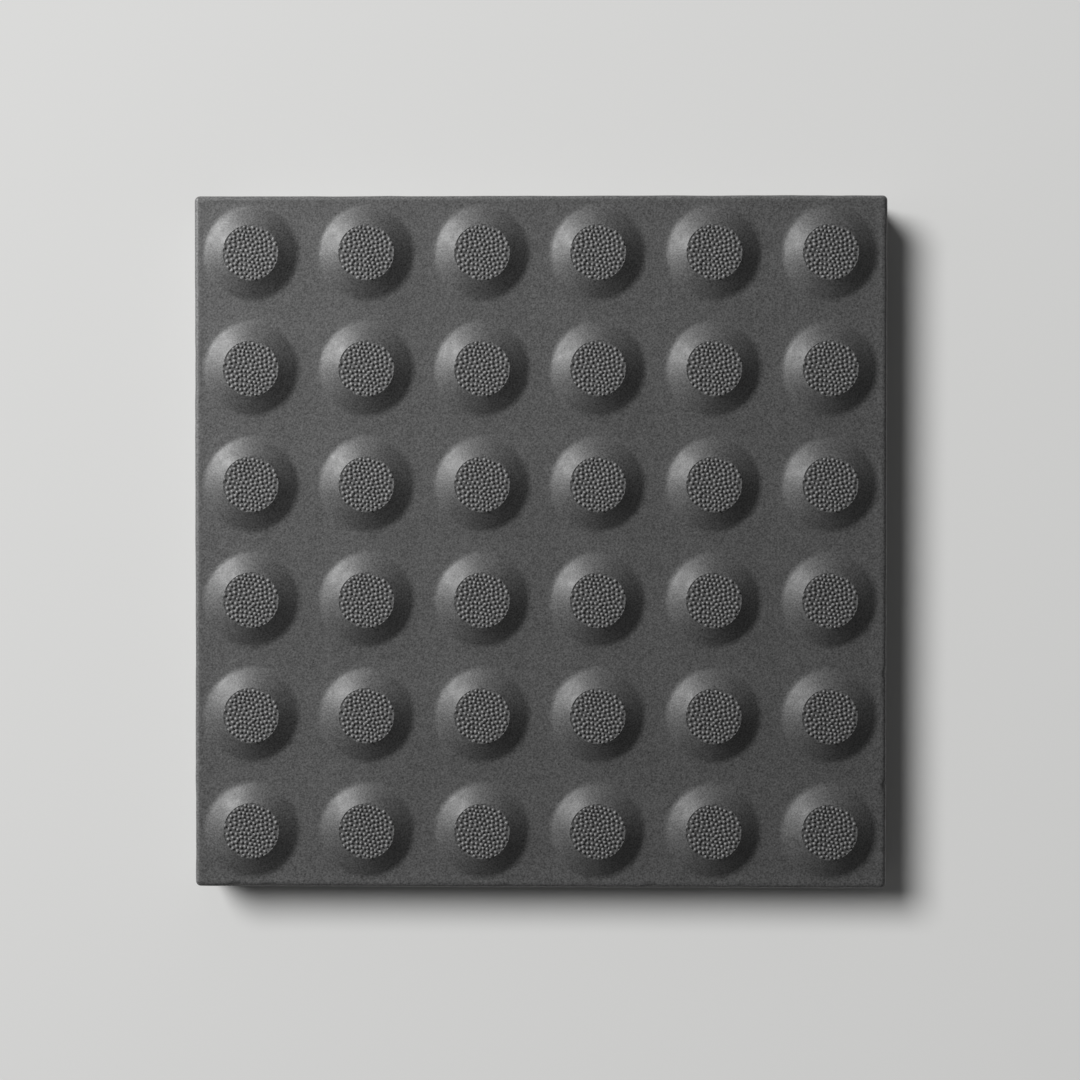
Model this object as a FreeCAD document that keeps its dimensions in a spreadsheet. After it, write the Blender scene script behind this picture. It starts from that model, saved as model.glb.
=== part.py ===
import FreeCAD, Part
import math
import os

import Sketcher

# Tactile paving slab, cast in concrete as one piece: a square flag with rounded arrises, whose upper face
# carries a square grid of flat-topped domes. Each dome is a truncated cone with a splayed toe that eases it
# into the face. Millimetres, +Z up, origin at the middle of the underside, sides along X and Y.

NODE = "slab"

DIMENSIONS = {
    "slab_length": 300,  # along X
    "slab_width": 300,  # along Y
    "slab_thickness": 40,  # underside to face, without the domes
    "arris_radius": 2,  # rounding of the upright corners and the upper edges
    "dome_pitch": 50,  # centre to centre, along X and along Y
    "dome_height": 5,  # face to the flat top
    "dome_top_diameter": 24,  # flat top, across its sharp rim
    "dome_base_diameter": 40,  # where the straight flank would meet the face
    "toe_length": 1.7,  # how far the toe runs up the flank, and out over the face, from that meeting line
}

# As many domes as stand wholly on the flat between the arrises, centred on the face
TOE_REACH = "(Sizes.dome_base_diameter / 2 + Sizes.toe_length)"
LEAST_MARGIN = f"(Sizes.arris_radius + {TOE_REACH})"
COLUMNS = f"(floor((Sizes.slab_length - 2 * {LEAST_MARGIN}) / Sizes.dome_pitch) + 1)"
ROWS = f"(floor((Sizes.slab_width - 2 * {LEAST_MARGIN}) / Sizes.dome_pitch) + 1)"


def start_of(line):
    """A sketch line's first end, as constraints name it; also the one place of a sketch point."""
    return line, 1


def end_of(line):
    return line, 2


def sketch_origin():
    return -1, 1


def vertical_axis():
    return -2


def make_sizes(doc):
    sheet = doc.addObject("Spreadsheet::Sheet", "Sizes")
    for row, (alias, value) in enumerate(DIMENSIONS.items(), start=1):
        sheet.set(f"A{row}", alias)
        sheet.set(f"B{row}", str(value))
        sheet.setAlias(f"B{row}", alias)
    doc.recompute()
    return sheet


def origin_feature(body, role):
    return next(item for item in body.Origin.OriginFeatures if item.Role == role)


def new_sketch(body, name, plane):
    sketch = body.newObject("Sketcher::SketchObject", name)
    sketch.AttachmentSupport = [(origin_feature(body, plane), "")]
    sketch.MapMode = "FlatFace"
    return sketch


def add_rule(sketch, *constraint):
    return sketch.addConstraint(Sketcher.Constraint(*constraint))


def drive(sketch, name, expression, *constraint):
    """Add a dimension to the sketch and bind it to the sheet."""
    index = add_rule(sketch, *constraint)
    sketch.renameConstraint(index, name)
    sketch.setExpression(f"Constraints.{name}", expression)


def make_block(body, sizes):
    """The plain flag: a rectangle centred on the origin, raised to the face."""
    half_length = sizes.slab_length / 2
    half_width = sizes.slab_width / 2
    corners = [
        FreeCAD.Vector(-half_length, -half_width, 0),
        FreeCAD.Vector(half_length, -half_width, 0),
        FreeCAD.Vector(half_length, half_width, 0),
        FreeCAD.Vector(-half_length, half_width, 0),
    ]
    outline = new_sketch(body, "slab_outline", "XY_Plane")
    sides = [
        outline.addGeometry(Part.LineSegment(start, end))
        for start, end in zip(corners, corners[1:] + corners[:1])
    ]
    front, right, back, left = sides
    for side, following in zip(sides, sides[1:] + sides[:1]):
        add_rule(outline, "Coincident", *end_of(side), *start_of(following))
    for side in (front, back):
        add_rule(outline, "Horizontal", side)
    for side in (right, left):
        add_rule(outline, "Vertical", side)
    add_rule(outline, "Symmetric", *start_of(front), *start_of(back), *sketch_origin())
    length = *start_of(front), *end_of(front), sizes.slab_length
    width = *start_of(right), *end_of(right), sizes.slab_width
    drive(outline, "length", "Sizes.slab_length", "DistanceX", *length)
    drive(outline, "width", "Sizes.slab_width", "DistanceY", *width)

    block = body.newObject("PartDesign::Pad", "block")
    block.Profile = outline
    block.setExpression("Length", "Sizes.slab_thickness")
    return block


def round_arrises(body, block):
    """Round the four upright corners and the four upper edges; the underside stays sharp."""
    edges = [
        f"Edge{number}"
        for number, edge in enumerate(block.Shape.Edges, start=1)
        if edge.BoundBox.ZMax > block.Shape.BoundBox.Center.z
    ]
    arrises = body.newObject("PartDesign::Fillet", "arrises")
    arrises.Base = (block, edges)
    arrises.setExpression("Radius", "Sizes.arris_radius")
    return arrises


def draw_dome_profile(body, sizes):
    """Half the dome's section, from its axis out to the end of the toe, rooted at mid-depth in the slab."""
    top_radius = sizes.dome_top_diameter / 2
    base_radius = sizes.dome_base_diameter / 2
    toe_reach = base_radius + sizes.toe_length
    face = sizes.slab_thickness
    root = face / 2

    def point(radius, height):
        return FreeCAD.Vector(radius, height, 0)

    rim = point(top_radius, face + sizes.dome_height)
    base = point(base_radius, face)
    foot = base + (rim - base).normalize() * sizes.toe_length
    outline = [
        point(0, root),
        point(toe_reach, root),
        point(toe_reach, face),
        foot,
        rim,
        point(0, rim.y),
    ]
    profile = new_sketch(body, "dome_profile", "XZ_Plane")
    lines = [
        profile.addGeometry(Part.LineSegment(start, end))
        for start, end in zip(outline, outline[1:] + outline[:1])
    ]
    bottom, root_side, toe, flank, flat_top, axis = lines
    base_corner = profile.addGeometry(Part.Point(base), True)

    for line, following in zip(lines, lines[1:] + lines[:1]):
        add_rule(profile, "Coincident", *end_of(line), *start_of(following))
    add_rule(profile, "Horizontal", bottom)
    add_rule(profile, "Horizontal", flat_top)
    add_rule(profile, "Vertical", root_side)
    add_rule(profile, "PointOnObject", *start_of(axis), vertical_axis())
    add_rule(profile, "PointOnObject", *end_of(axis), vertical_axis())
    add_rule(profile, "PointOnObject", *start_of(base_corner), flank)
    add_rule(profile, "Horizontal", *start_of(base_corner), *start_of(toe))

    root_depth = *start_of(root_side), *end_of(root_side), face - root
    face_height = *sketch_origin(), *start_of(base_corner), face
    base_half = *sketch_origin(), *start_of(base_corner), base_radius
    height = *start_of(base_corner), *end_of(flank), sizes.dome_height
    top_half = *sketch_origin(), *end_of(flank), top_radius
    over_face = *start_of(base_corner), *start_of(toe), sizes.toe_length
    up_flank = *start_of(base_corner), *end_of(toe), sizes.toe_length
    drive(profile, "root_depth", "Sizes.slab_thickness / 2", "DistanceY", *root_depth)
    drive(profile, "face_height", "Sizes.slab_thickness", "DistanceY", *face_height)
    drive(profile, "base_radius", "Sizes.dome_base_diameter / 2", "DistanceX", *base_half)
    drive(profile, "dome_height", "Sizes.dome_height", "DistanceY", *height)
    drive(profile, "top_radius", "Sizes.dome_top_diameter / 2", "DistanceX", *top_half)
    drive(profile, "toe_over_face", "Sizes.toe_length", "DistanceX", *over_face)
    drive(profile, "toe_up_flank", "Sizes.toe_length", "Distance", *up_flank)

    # The sketch's own origin lies on the axis of the first dome: the front row's left end
    profile.setExpression("AttachmentOffset.Base.x", f"-({COLUMNS} - 1) / 2 * Sizes.dome_pitch")
    profile.setExpression("AttachmentOffset.Base.z", f"({ROWS} - 1) / 2 * Sizes.dome_pitch")
    return profile


def pattern(body, name, axis, copies):
    """Repeat at the pitch along one of the slab's sides."""
    step = body.newObject("PartDesign::LinearPattern", name)
    step.Direction = (origin_feature(body, axis), [""])
    step.Mode = "Spacing"
    step.setExpression("Offset", "Sizes.dome_pitch")
    step.setExpression("Occurrences", copies)
    return step


def make_domes(body, profile):
    """One dome turned about its axis, then repeated over the face."""
    first_dome = body.newObject("PartDesign::Revolution", "first_dome")
    first_dome.Profile = profile
    first_dome.ReferenceAxis = (profile, ["V_Axis"])
    body.Document.recompute()

    domes = body.newObject("PartDesign::MultiTransform", "domes")
    domes.Originals = [first_dome]
    domes.Transformations = [
        pattern(body, "dome_columns", "X_Axis", COLUMNS),
        pattern(body, "dome_rows", "Y_Axis", ROWS),
    ]
    body.Tip = domes
    return domes


def check(doc, body, domes):
    """Stop before anything is written if a feature failed or a dome is missing."""
    for item in doc.Objects:
        if "Invalid" in item.State or "Error" in item.State:
            raise RuntimeError(f"{item.Label} is in state {item.State}")
    if body.Shape.isNull() or not body.Shape.isValid():
        raise RuntimeError(f"{body.Label} has no valid shape")
    if len(body.Shape.Solids) != 1:
        raise RuntimeError(f"{body.Label} has {len(body.Shape.Solids)} solids, not one")
    columns, rows = (step.Occurrences for step in domes.Transformations)
    highest = body.Shape.BoundBox.ZMax
    tops = [face for face in body.Shape.Faces if math.isclose(face.BoundBox.ZMin, highest)]
    if len(tops) != columns * rows:
        raise RuntimeError(f"{body.Label} has {len(tops)} domes, not {columns} x {rows}")
    print(f"{columns} x {rows} domes")


def main():
    doc = FreeCAD.newDocument("tactile_slab")
    sizes = make_sizes(doc)
    body = doc.addObject("PartDesign::Body", NODE)
    body.Label = NODE
    block = make_block(body, sizes)
    doc.recompute()
    round_arrises(body, block)
    doc.recompute()
    profile = draw_dome_profile(body, sizes)
    doc.recompute()
    domes = make_domes(body, profile)
    doc.recompute()
    check(doc, body, domes)
    os.makedirs("parts", exist_ok=True)
    body.Shape.exportStep(f"parts/{NODE}.step")


main()
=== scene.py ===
import itertools
import math

import bmesh
import bpy
import numpy as np
from mathutils.geometry import delaunay_2d_cdt
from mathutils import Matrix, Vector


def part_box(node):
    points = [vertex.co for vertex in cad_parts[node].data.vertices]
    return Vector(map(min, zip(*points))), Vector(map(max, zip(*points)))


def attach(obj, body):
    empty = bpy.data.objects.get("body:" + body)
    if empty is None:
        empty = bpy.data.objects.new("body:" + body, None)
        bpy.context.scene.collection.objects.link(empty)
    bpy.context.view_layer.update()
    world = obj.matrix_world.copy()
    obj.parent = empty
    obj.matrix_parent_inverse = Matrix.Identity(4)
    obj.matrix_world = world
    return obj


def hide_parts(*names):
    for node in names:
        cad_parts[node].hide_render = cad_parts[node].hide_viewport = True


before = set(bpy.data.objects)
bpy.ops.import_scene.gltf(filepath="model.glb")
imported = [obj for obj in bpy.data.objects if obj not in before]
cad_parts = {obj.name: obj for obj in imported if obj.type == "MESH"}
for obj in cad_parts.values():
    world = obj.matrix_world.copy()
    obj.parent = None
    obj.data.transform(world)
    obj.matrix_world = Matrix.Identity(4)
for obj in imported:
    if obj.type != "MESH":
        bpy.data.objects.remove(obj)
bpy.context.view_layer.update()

# Tactile paving slab in charcoal concrete, seen from above. It is one casting: a flag with rounded arrises
# and a grid of truncated domes, whose tops are pebbled all alike because they come from the same mould
# insert. Shapes are worked out in millimetres and go into the mesh in metres.

MM = 0.001
rng = np.random.default_rng(36)

# The flag
UPPER_CORNER = np.array(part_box("slab")[1]) / MM
HALF_SPAN = UPPER_CORNER[:2]
DOME_TOP = UPPER_CORNER[2]
DOME_HEIGHT = 5
FACE = DOME_TOP - DOME_HEIGHT
CORNER_RADIUS = 2.3
ARRIS_RADIUS = 2
LIP_REACH = 3.1  # from the side to where the face starts to rise to its lip
LIP_HEIGHT = 0.08
BED_BEVEL = 0.5
EDGE_WAVE = 0.3  # how far the sides wander inwards
NICK_COUNT = 9
NICK_HALF_WIDTHS = 1.2, 2.6
NICK_DEPTHS = 0.2, 0.6

# The domes
DOME_PITCH = 50
TOP_RADIUS = 12
BASE_RADIUS = 20.25  # where the straight flank would meet the face
RIM_DROP = 0.8  # from the crowns of the pebbles down to the rim
TOE_RADIUS = 6
TOE_STEPS = 4
SEGMENTS = 120

# The pebbles on a dome
BEAD_SPACING = 2.06
BEAD_DEPTH = 1.12  # from the beads' crowns down to the hollows between them
BEAD_UNEVENNESS = 0.06
BEAD_RUN_OUT = 0.2  # how far in from the rim the beads and hollows come to their full depth

# The concrete
TONE = 0.07
GRAIN_RELIEF = 0.09
ARRIS_WEAR = 0.3  # how far raised edges are rubbed pale, of what the pebbles' crowns are

# Kinds of vertex that sharp edges run along
RIM, SIDE_FOOT, BED_RIM = 1, 2, 3


def polar(radius, turn):
    return np.stack([radius * np.cos(turn), radius * np.sin(turn)], axis=-1)


def distances(points, others):
    return np.linalg.norm(points[:, None] - others[None], axis=2)


def triangulate(points, loops=(), merge=0.0001):
    """Delaunay triangles inside the loops, with the inputs that each point and triangle came from."""
    inside = 1 if loops else 0
    made = delaunay_2d_cdt([tuple(p) for p in points], [], list(loops), inside, merge)
    return np.array(made[0]), made[2], made[3], made[5]


def at_height(points, height):
    return np.column_stack([points, np.broadcast_to(height, len(points))])


def strip(first, second):
    """Quads between two closed loops of vertex numbers."""
    pairs = list(zip(first, second))
    return [(a, b, d, c) for (a, b), (c, d) in zip(pairs, pairs[1:] + pairs[:1])]


def disc_points(radius, count):
    return polar(radius * np.sqrt(rng.random(count)), 2 * math.pi * rng.random(count))


def spread_beads(rounds=150, samples_per_bead=150):
    """Bead centres, eased apart until they lie close together in wandering rows, and on past the rim."""
    reach = TOP_RADIUS + 1.5 * BEAD_SPACING
    cell = BEAD_SPACING**2 * math.sqrt(3) / 2
    count = round(math.pi * reach**2 / cell)
    ground = disc_points(reach, count * samples_per_bead)
    centres = disc_points(reach, count)
    for _ in range(rounds):
        owner = (ground @ centres.T - (centres**2).sum(axis=1) / 2).argmax(axis=1)
        share = np.maximum(np.bincount(owner, minlength=count), 1)
        sums = [np.bincount(owner, ground[:, axis], count) for axis in (0, 1)]
        centres = np.stack(sums, axis=1) / share[:, None]
    return centres


def between_beads(centres):
    """Places half-way between each two neighbouring beads, and in the middle of each three."""
    points, triangles, _, _ = triangulate(centres)
    pairs = {pair for triangle in triangles for pair in itertools.combinations(sorted(triangle), 2)}
    return np.concatenate([points[np.array(group)].mean(axis=1) for group in (sorted(pairs), triangles)])


def bead_height(points, centres, tops):
    """The pebbled surface: rounded crowns and hollows, that run out level at the rim."""
    apart = np.minimum(distances(points, centres) / (BEAD_SPACING / 2), 1)
    height = (tops - BEAD_DEPTH * (1 - np.cos(math.pi * apart)) / 2).max(axis=1)
    share = ((TOP_RADIUS - np.linalg.norm(points, axis=1)) / BEAD_RUN_OUT).clip(0, 1)
    rim = DOME_TOP - RIM_DROP
    return rim + (height - rim) * share


def make_pebbles(turns, ring_count=8, ring_reach=0.55, margin=0.2):
    """A dome's pebbled top: points, triangles, and the rim's points."""
    centres = spread_beads()
    tops = DOME_TOP - BEAD_UNEVENNESS * rng.random(len(centres))
    ring = polar(ring_reach * BEAD_SPACING / 2, np.linspace(0, 2 * math.pi, ring_count, endpoint=False))
    shoulders = (centres[:, None] + ring).reshape(-1, 2)
    inner = np.concatenate([centres, shoulders, between_beads(centres)])
    inner = inner[np.linalg.norm(inner, axis=1) < TOP_RADIUS - margin]
    points = np.concatenate([polar(TOP_RADIUS, turns), inner])
    loop = list(range(SEGMENTS))
    flat, triangles, sources, _ = triangulate(points, loops=[loop], merge=0.02)
    place = {s: n for n, source in enumerate(sources) for s in source}
    return at_height(flat, bead_height(flat, centres, tops)), triangles, [place[k] for k in loop]


def dome_rings():
    """Radius and height of the rings from the foot of the straight flank, round the toe to the face."""
    lean = math.atan2(DOME_HEIGHT - RIM_DROP, BASE_RADIUS - TOP_RADIUS)
    toe_end = BASE_RADIUS + TOE_RADIUS * math.tan(lean / 2)
    turned = np.linspace(lean, 0, TOE_STEPS + 1)
    return zip(toe_end - TOE_RADIUS * np.sin(turned), FACE + TOE_RADIUS * (1 - np.cos(turned)))


def make_dome():
    """One dome about its own axis: points, faces, kinds, wear and painted sheen, and the loop that it
    stands on.
    """
    turns = np.linspace(0, 2 * math.pi, SEGMENTS, endpoint=False)
    pebbles, faces, rim = make_pebbles(turns)
    rings = [at_height(polar(radius, turns), height) for radius, height in dome_rings()]
    starts = [len(pebbles) + n * SEGMENTS for n in range(len(rings))]
    loops = [rim] + [range(start, start + SEGMENTS) for start in starts]
    for upper, lower in zip(loops, loops[1:]):
        faces += strip(upper, lower)
    points = np.concatenate([pebbles, *rings])
    kinds = np.zeros(len(points), int)
    kinds[rim] = RIM
    wear_and_painted_sheen = np.zeros(len(points))
    # The pebbles grow paler towards their crowns: partly wear, partly painted sheen on the crowns and
    # painted shade in the hollows.
    wear_and_painted_sheen[: len(pebbles)] = (1 - (DOME_TOP - pebbles[:, 2]) / BEAD_DEPTH).clip(0, 1)
    wear_and_painted_sheen[rim] = 0
    return points, faces, kinds, wear_and_painted_sheen, rings[-1][:, :2]


def dome_places():
    """Centres of as many domes as the face holds at the pitch."""
    across = []
    for span in 2 * HALF_SPAN:
        count = int(span // DOME_PITCH)
        across.append((np.arange(count) - (count - 1) / 2) * DOME_PITCH)
    return np.array(list(itertools.product(*across)))


class Border:
    """The slab's edge, as loops of points that all run round its outline side by side."""

    side_steps = 150
    corner_steps = 6
    least_corner = 0.15
    arris_steps = 4

    def __init__(self):
        anchors, normals = [], []
        quarters = ((1, 1), (-1, 1), (-1, -1), (1, -1))
        corners = [np.array(signs) * (HALF_SPAN - CORNER_RADIUS) for signs in quarters]
        for number, (corner, following) in enumerate(zip(corners, corners[1:] + corners[:1])):
            turns = (number + np.linspace(0, 1, self.corner_steps + 1)) * math.pi / 2
            along = np.linspace(0, 1, self.side_steps + 1)[1:-1, None]
            anchors += [np.tile(corner, (len(turns), 1)), corner + (following - corner) * along]
            normals += [polar(np.ones(len(turns)), turns), np.tile(polar(1.0, turns[-1]), (len(along), 1))]
        self.anchors = np.concatenate(anchors)
        self.normals = np.concatenate(normals)
        self.count = len(self.anchors)
        steps = np.linalg.norm(np.diff(self.outline(np.zeros((self.count, 1))), axis=0), axis=1)
        self.distance = np.concatenate([[0], np.cumsum(steps)])
        self.length = self.distance[-1] + steps[-1]
        self.wave = self.draw_wave()
        self.nicks = self.draw_nicks()

    def outline(self, inset):
        radius = np.maximum(CORNER_RADIUS - inset, self.least_corner)
        anchors = self.anchors * (HALF_SPAN - inset - radius) / (HALF_SPAN - CORNER_RADIUS)
        return anchors + self.normals * radius

    def draw_wave(self, shortest=12):
        """A smooth wander along the edge, between 0 and 1."""
        cycles = np.arange(4, int(self.length / shortest))
        phases = 2 * math.pi * rng.random(len(cycles))
        turns = 2 * math.pi * self.distance[:, None] / self.length * cycles
        wave = (np.sin(turns + phases) / np.sqrt(cycles)).sum(axis=1)
        return (wave - wave.min()) / np.ptp(wave)

    def draw_nicks(self):
        """Small chips along the arris, as depths in millimetres."""
        depth = np.zeros(self.count)
        for _ in range(NICK_COUNT):
            place = rng.random() * self.length
            half_width = rng.uniform(*NICK_HALF_WIDTHS)
            apart = np.abs(self.distance - place)
            apart = np.minimum(apart, self.length - apart)
            depth += rng.uniform(*NICK_DEPTHS) * np.exp(-((apart / half_width) ** 2))
        return depth

    def loop(self, inset, height, give, chipped=0.0):
        """A loop drawn in from the outline, that takes up a share of the edge's wander and of its chips."""
        chips = chipped * self.nicks
        drawn_in = inset + give * EDGE_WAVE * self.wave + chips
        return at_height(self.outline(drawn_in[:, None]), height - chips)

    def loops(self):
        """From the face, over the lip and the arris, down the side to the bed face."""
        crest = FACE + LIP_HEIGHT
        made = [self.loop(LIP_REACH, FACE, 0)]
        for angle in np.linspace(0, math.pi / 2, self.arris_steps + 1):
            out, down = math.sin(angle), 1 - math.cos(angle)
            chipped = math.sin(2 * angle)
            made.append(self.loop(ARRIS_RADIUS * (1 - out), crest - ARRIS_RADIUS * down, out, chipped))
        made.append(self.loop(0, FACE / 2, 1))
        made.append(self.loop(0, BED_BEVEL, 1))
        made.append(self.loop(BED_BEVEL, 0, 1))
        return made


def fill_face(outer, holes):
    """Triangles of the flat between the domes."""
    points = np.concatenate([outer, *holes])
    starts = np.cumsum([0, len(outer)] + [len(hole) for hole in holes])
    loops = [list(range(a, b)) for a, b in zip(starts, starts[1:])]
    flat, triangles, _, sources = triangulate(points, loops=loops)
    return at_height(flat, FACE), [t for t, source in zip(triangles, sources) if source == [0]]


class Shape:
    """Vertices with their kinds, wear and painted sheen, and faces, gathered for one mesh."""

    def __init__(self):
        self.points, self.faces, self.kinds, self.wear_and_painted_sheen = [], [], [], []
        self.count = 0

    def add(self, points, faces, kinds=0, wear_and_painted_sheen=0):
        self.points.append(points)
        self.kinds.append(np.broadcast_to(kinds, len(points)))
        self.wear_and_painted_sheen.append(np.broadcast_to(wear_and_painted_sheen, len(points)))
        self.faces += [tuple(self.count + k for k in face) for face in faces]
        self.count += len(points)

    def mesh(self, name, merge=0.001):
        """Join what meets, turn the faces outwards, and mark the sharp edges between like kinds."""
        made = bmesh.new()
        kind = made.verts.layers.int.new("kind")
        wear_and_painted_sheen = made.verts.layers.float.new("wear_and_painted_sheen")
        columns = (np.concatenate(part) for part in (self.points, self.kinds, self.wear_and_painted_sheen))
        for point, vertex_kind, vertex_wear_and_painted_sheen in zip(*columns):
            vertex = made.verts.new(point * MM)
            vertex[kind] = int(vertex_kind)
            vertex[wear_and_painted_sheen] = float(vertex_wear_and_painted_sheen)
        made.verts.ensure_lookup_table()
        for face in self.faces:
            made.faces.new([made.verts[k] for k in face]).smooth = True
        bmesh.ops.remove_doubles(made, verts=made.verts, dist=merge * MM)
        bmesh.ops.triangulate(made, faces=made.faces)
        bmesh.ops.recalc_face_normals(made, faces=made.faces)
        for edge in made.edges:
            first, second = (vertex[kind] for vertex in edge.verts)
            edge.smooth = not first or first != second
        made.verts.layers.int.remove(kind)
        mesh = bpy.data.meshes.new(name)
        made.to_mesh(mesh)
        made.free()
        return mesh


def make_slab():
    shape = Shape()
    points, faces, kinds, wear_and_painted_sheen, foot = make_dome()
    places = dome_places()
    for place in places:
        shape.add(points + np.array([*place, 0]), faces, kinds, wear_and_painted_sheen)
    border = Border()
    loops = border.loops()
    shape.add(*fill_face(loops[0][:, :2], [foot + place for place in places]))
    loop_kinds = np.zeros(len(loops), int)
    loop_kinds[-2:] = SIDE_FOOT, BED_RIM
    loop_wear = np.zeros(len(loops))
    loop_wear[2 : border.arris_steps + 1] = ARRIS_WEAR
    numbers = np.arange(len(loops) * border.count).reshape(len(loops), border.count).tolist()
    strips = [strip(upper, lower) for upper, lower in zip(numbers, numbers[1:])]
    along = [np.repeat(values, border.count) for values in (loop_kinds, loop_wear)]
    shape.add(np.concatenate(loops), sum(strips, []), *along)
    bed, bed_faces, _, _ = triangulate(loops[-1][:, :2], loops=[list(range(border.count))])
    shape.add(at_height(bed, 0), bed_faces, BED_RIM)

    slab = bpy.data.objects.new("pebbled_slab", shape.mesh("pebbled_slab"))
    bpy.context.collection.objects.link(slab)
    slab.data.materials.append(make_concrete())
    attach(slab, "root")
    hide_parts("slab")
    return slab


def add_node(tree, kind, sockets, **settings):
    """Add a node with its settings, and give each named socket its value or link."""
    node = tree.nodes.new(kind)
    for name, value in settings.items():
        setattr(node, name, value)
    for name, value in sockets.items():
        if isinstance(value, bpy.types.NodeSocket):
            tree.links.new(value, node.inputs[name])
        else:
            node.inputs[name].default_value = value
    return node


def noise(tree, place, size, detail):
    """Cloudy noise between about 0.3 and 0.7, in patches of the given size in millimetres."""
    sockets = {"Vector": place, "Scale": 1 / (size * MM), "Detail": detail, "Roughness": 0.6}
    return add_node(tree, "ShaderNodeTexNoise", sockets).outputs["Fac"]


def span(tree, value, start, end, low, high):
    sockets = {"Value": value, "From Min": start, "From Max": end, "To Min": low, "To Max": high}
    return add_node(tree, "ShaderNodeMapRange", sockets).outputs["Result"]


def calculate(tree, operation, *values):
    return add_node(tree, "ShaderNodeMath", dict(enumerate(values)), operation=operation).outputs["Value"]


def dots(tree, place, spacing, radius, share):
    """1 in scattered dots of about the given radius, in a share of the cells at the given spacing."""
    sockets = {"Vector": place, "Scale": 1 / (spacing * MM)}
    cells = add_node(tree, "ShaderNodeTexVoronoi", sockets)
    near = span(tree, cells.outputs["Distance"], radius / spacing * 0.5, radius / spacing, 1, 0)
    chance = add_node(tree, "ShaderNodeSeparateColor", {"Color": cells.outputs["Color"]}).outputs["Red"]
    chosen = calculate(tree, "LESS_THAN", chance, share)
    return calculate(tree, "MULTIPLY", near, chosen)


def make_concrete():
    """Charcoal concrete: fine sandy grain, faint clouding, a few pinholes and pale specks."""
    material = bpy.data.materials.new("charcoal_concrete")
    material.use_nodes = True
    tree = material.node_tree
    shader = tree.nodes["Principled BSDF"]
    place = tree.nodes.new("ShaderNodeTexCoord").outputs["Object"]

    clouds = span(tree, noise(tree, place, 30, 3), 0.3, 0.7, 0.94, 1.06)
    blotches = span(tree, noise(tree, place, 5, 3), 0.3, 0.7, 0.95, 1.05)
    sand = noise(tree, place, 0.75, 3)
    grain = span(tree, sand, 0.3, 0.7, 0.4, 1.6)
    specks = dots(tree, place, 2.2, 0.35, 0.2)
    pits = dots(tree, place, 2.6, 0.4, 0.2)
    pinholes = dots(tree, place, 9, 0.4, 0.08)
    wear_and_painted_sheen = add_node(tree, "ShaderNodeAttribute", {}, attribute_name="wear_and_painted_sheen").outputs["Fac"]

    tone = calculate(tree, "MULTIPLY", clouds, blotches)
    tone = calculate(tree, "MULTIPLY", tone, grain)
    tone = calculate(tree, "MULTIPLY_ADD", specks, 0.7, tone)
    # Pits and pinholes are darker too: painted shade in the small holes.
    tone = calculate(tree, "MULTIPLY_ADD", pits, -0.4, tone)
    tone = calculate(tree, "MULTIPLY_ADD", pinholes, -0.6, tone)
    # Up to twice as pale: the rubbed arrises, and the pebbles' crowns, which is partly wear and partly
    # painted sheen, with painted shade in the hollows between them.
    tone = calculate(tree, "MULTIPLY", tone, span(tree, wear_and_painted_sheen, 0, 1, 1, 2))
    tone = calculate(tree, "MULTIPLY", tone, TONE)
    tree.links.new(tone, shader.inputs["Base Color"])

    relief = calculate(tree, "MULTIPLY_ADD", noise(tree, place, 2.5, 2), 0.7, sand)
    relief = calculate(tree, "MULTIPLY_ADD", pits, -0.5, relief)
    relief = calculate(tree, "MULTIPLY_ADD", pinholes, -2, relief)
    sockets = {"Height": relief, "Strength": 1.0, "Distance": GRAIN_RELIEF * MM}
    bump = add_node(tree, "ShaderNodeBump", sockets)
    tree.links.new(bump.outputs["Normal"], shader.inputs["Normal"])

    roughness = span(tree, noise(tree, place, 4, 2), 0.3, 0.7, 0.48, 0.58)
    roughness = calculate(tree, "MULTIPLY_ADD", wear_and_painted_sheen, -0.1, roughness)
    tree.links.new(roughness, shader.inputs["Roughness"])
    return material


def make_floor(half_size=6000, overlap=1):
    """A level floor, left open under all but the slab's edge, so that the bed face shows from below."""
    signs = np.array([(-1, -1), (1, -1), (1, 1), (-1, 1)])
    corners = np.concatenate([signs * (HALF_SPAN - overlap), signs * half_size])
    mesh = bpy.data.meshes.new("floor")
    mesh.from_pydata((at_height(corners, 0) * MM).tolist(), [], strip(range(4), range(4, 8)))
    floor = bpy.data.objects.new("floor", mesh)
    bpy.context.collection.objects.link(floor)
    mesh.materials.append(make_backdrop())
    return floor


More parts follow.
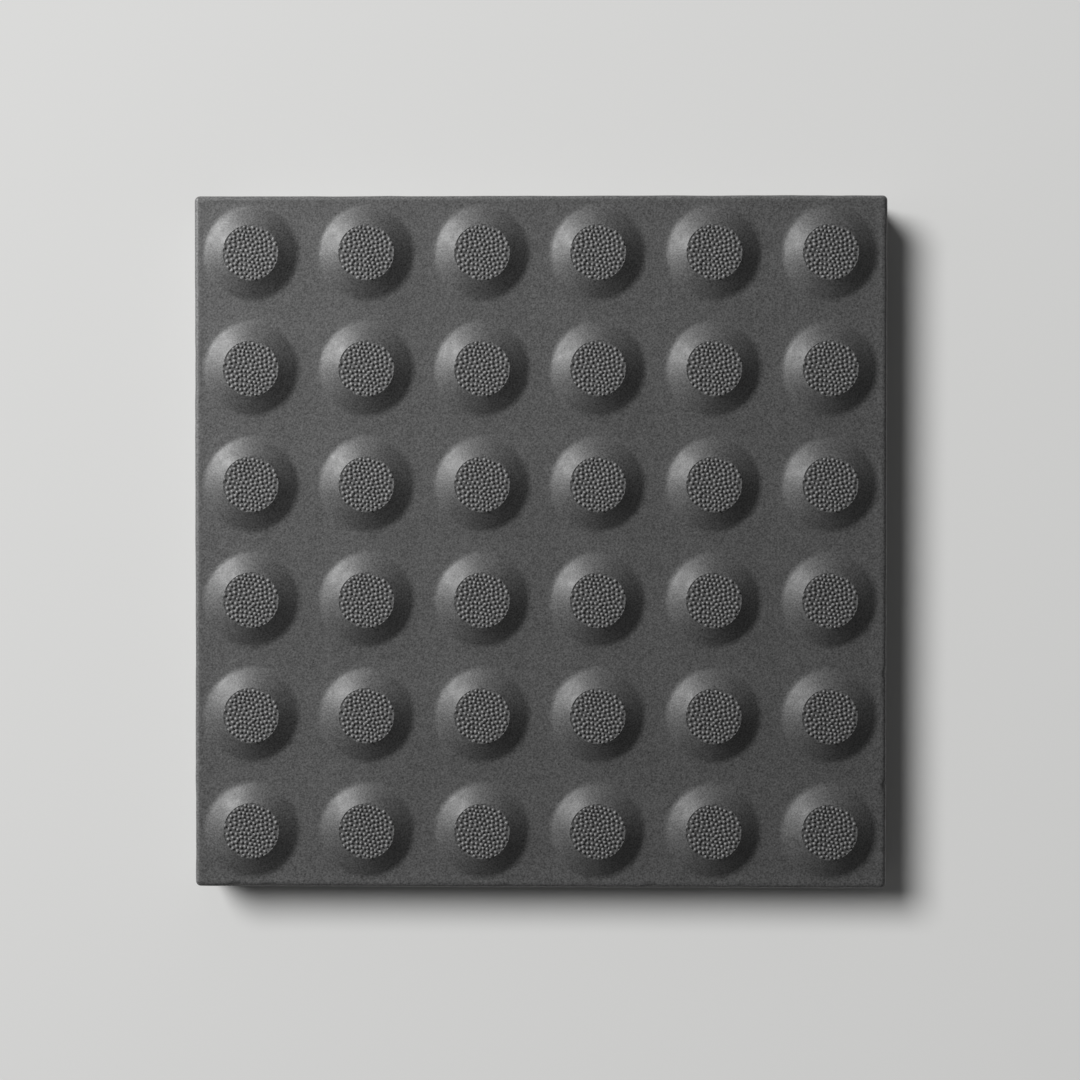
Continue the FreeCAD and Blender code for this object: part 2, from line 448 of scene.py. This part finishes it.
def make_backdrop():
    material = bpy.data.materials.new("pale_floor")
    material.use_nodes = True
    shader = material.node_tree.nodes["Principled BSDF"]
    shader.inputs["Base Color"].default_value = (0.6, 0.6, 0.593, 1)
    shader.inputs["Roughness"].default_value = 0.9
    shader.inputs["Specular IOR Level"].default_value = 0.1
    return material


def add_lamp(name, subject, bearing, elevation, reach, size, level):
    """A soft round lamp for one subject, which it lights to a level of white. Degrees and metres."""
    bearing = math.radians(bearing)
    elevation = math.radians(elevation)
    lamp = bpy.data.lights.new(name, "AREA")
    lamp.shape = "DISK"
    lamp.size = size
    lamp.energy = level * math.pi**2 * reach**2 / math.sin(elevation)
    holder = bpy.data.objects.new(name, lamp)
    out = reach * math.cos(elevation)
    holder.location = (out * math.cos(bearing), out * math.sin(bearing), reach * math.sin(elevation))
    holder.rotation_euler = (0, math.pi / 2 - elevation, bearing)
    bpy.context.collection.objects.link(holder)
    receivers = bpy.data.collections.new(f"lit_by_{name}")
    receivers.objects.link(subject)
    holder.light_linking.receiver_collection = receivers


def make_lights(slab, floor):
    """A low lamp on the slab, a higher one on the floor, for its short shadow, and a weak even fill."""
    add_lamp("key", slab, bearing=146, elevation=32.5, reach=1.5, size=0.5, level=0.9)
    add_lamp("floor_key", floor, bearing=142, elevation=59.5, reach=4.2, size=1.75, level=1)

    world = bpy.data.worlds.new("fill")
    world.use_nodes = True
    background = world.node_tree.nodes["Background"]
    background.inputs["Color"].default_value = (1, 1, 1, 1)
    background.inputs["Strength"].default_value = 0.1
    bpy.context.scene.world = world


def make_camera():
    """Nearly square-on from above, as in the photograph."""
    camera = bpy.data.cameras.new("camera")
    camera.sensor_width = 36
    camera.lens = 89.36
    view = bpy.data.objects.new("camera", camera)
    view.location = (0.0231, 0.0208, 1.2)
    view.rotation_euler = [math.radians(angle) for angle in (-0.979, 1.143, 0.024)]
    bpy.context.collection.objects.link(view)
    bpy.context.scene.camera = view


slab = make_slab()
floor = make_floor()
make_lights(slab, floor)
make_camera()
bpy.context.scene.view_settings.view_transform = "Standard"
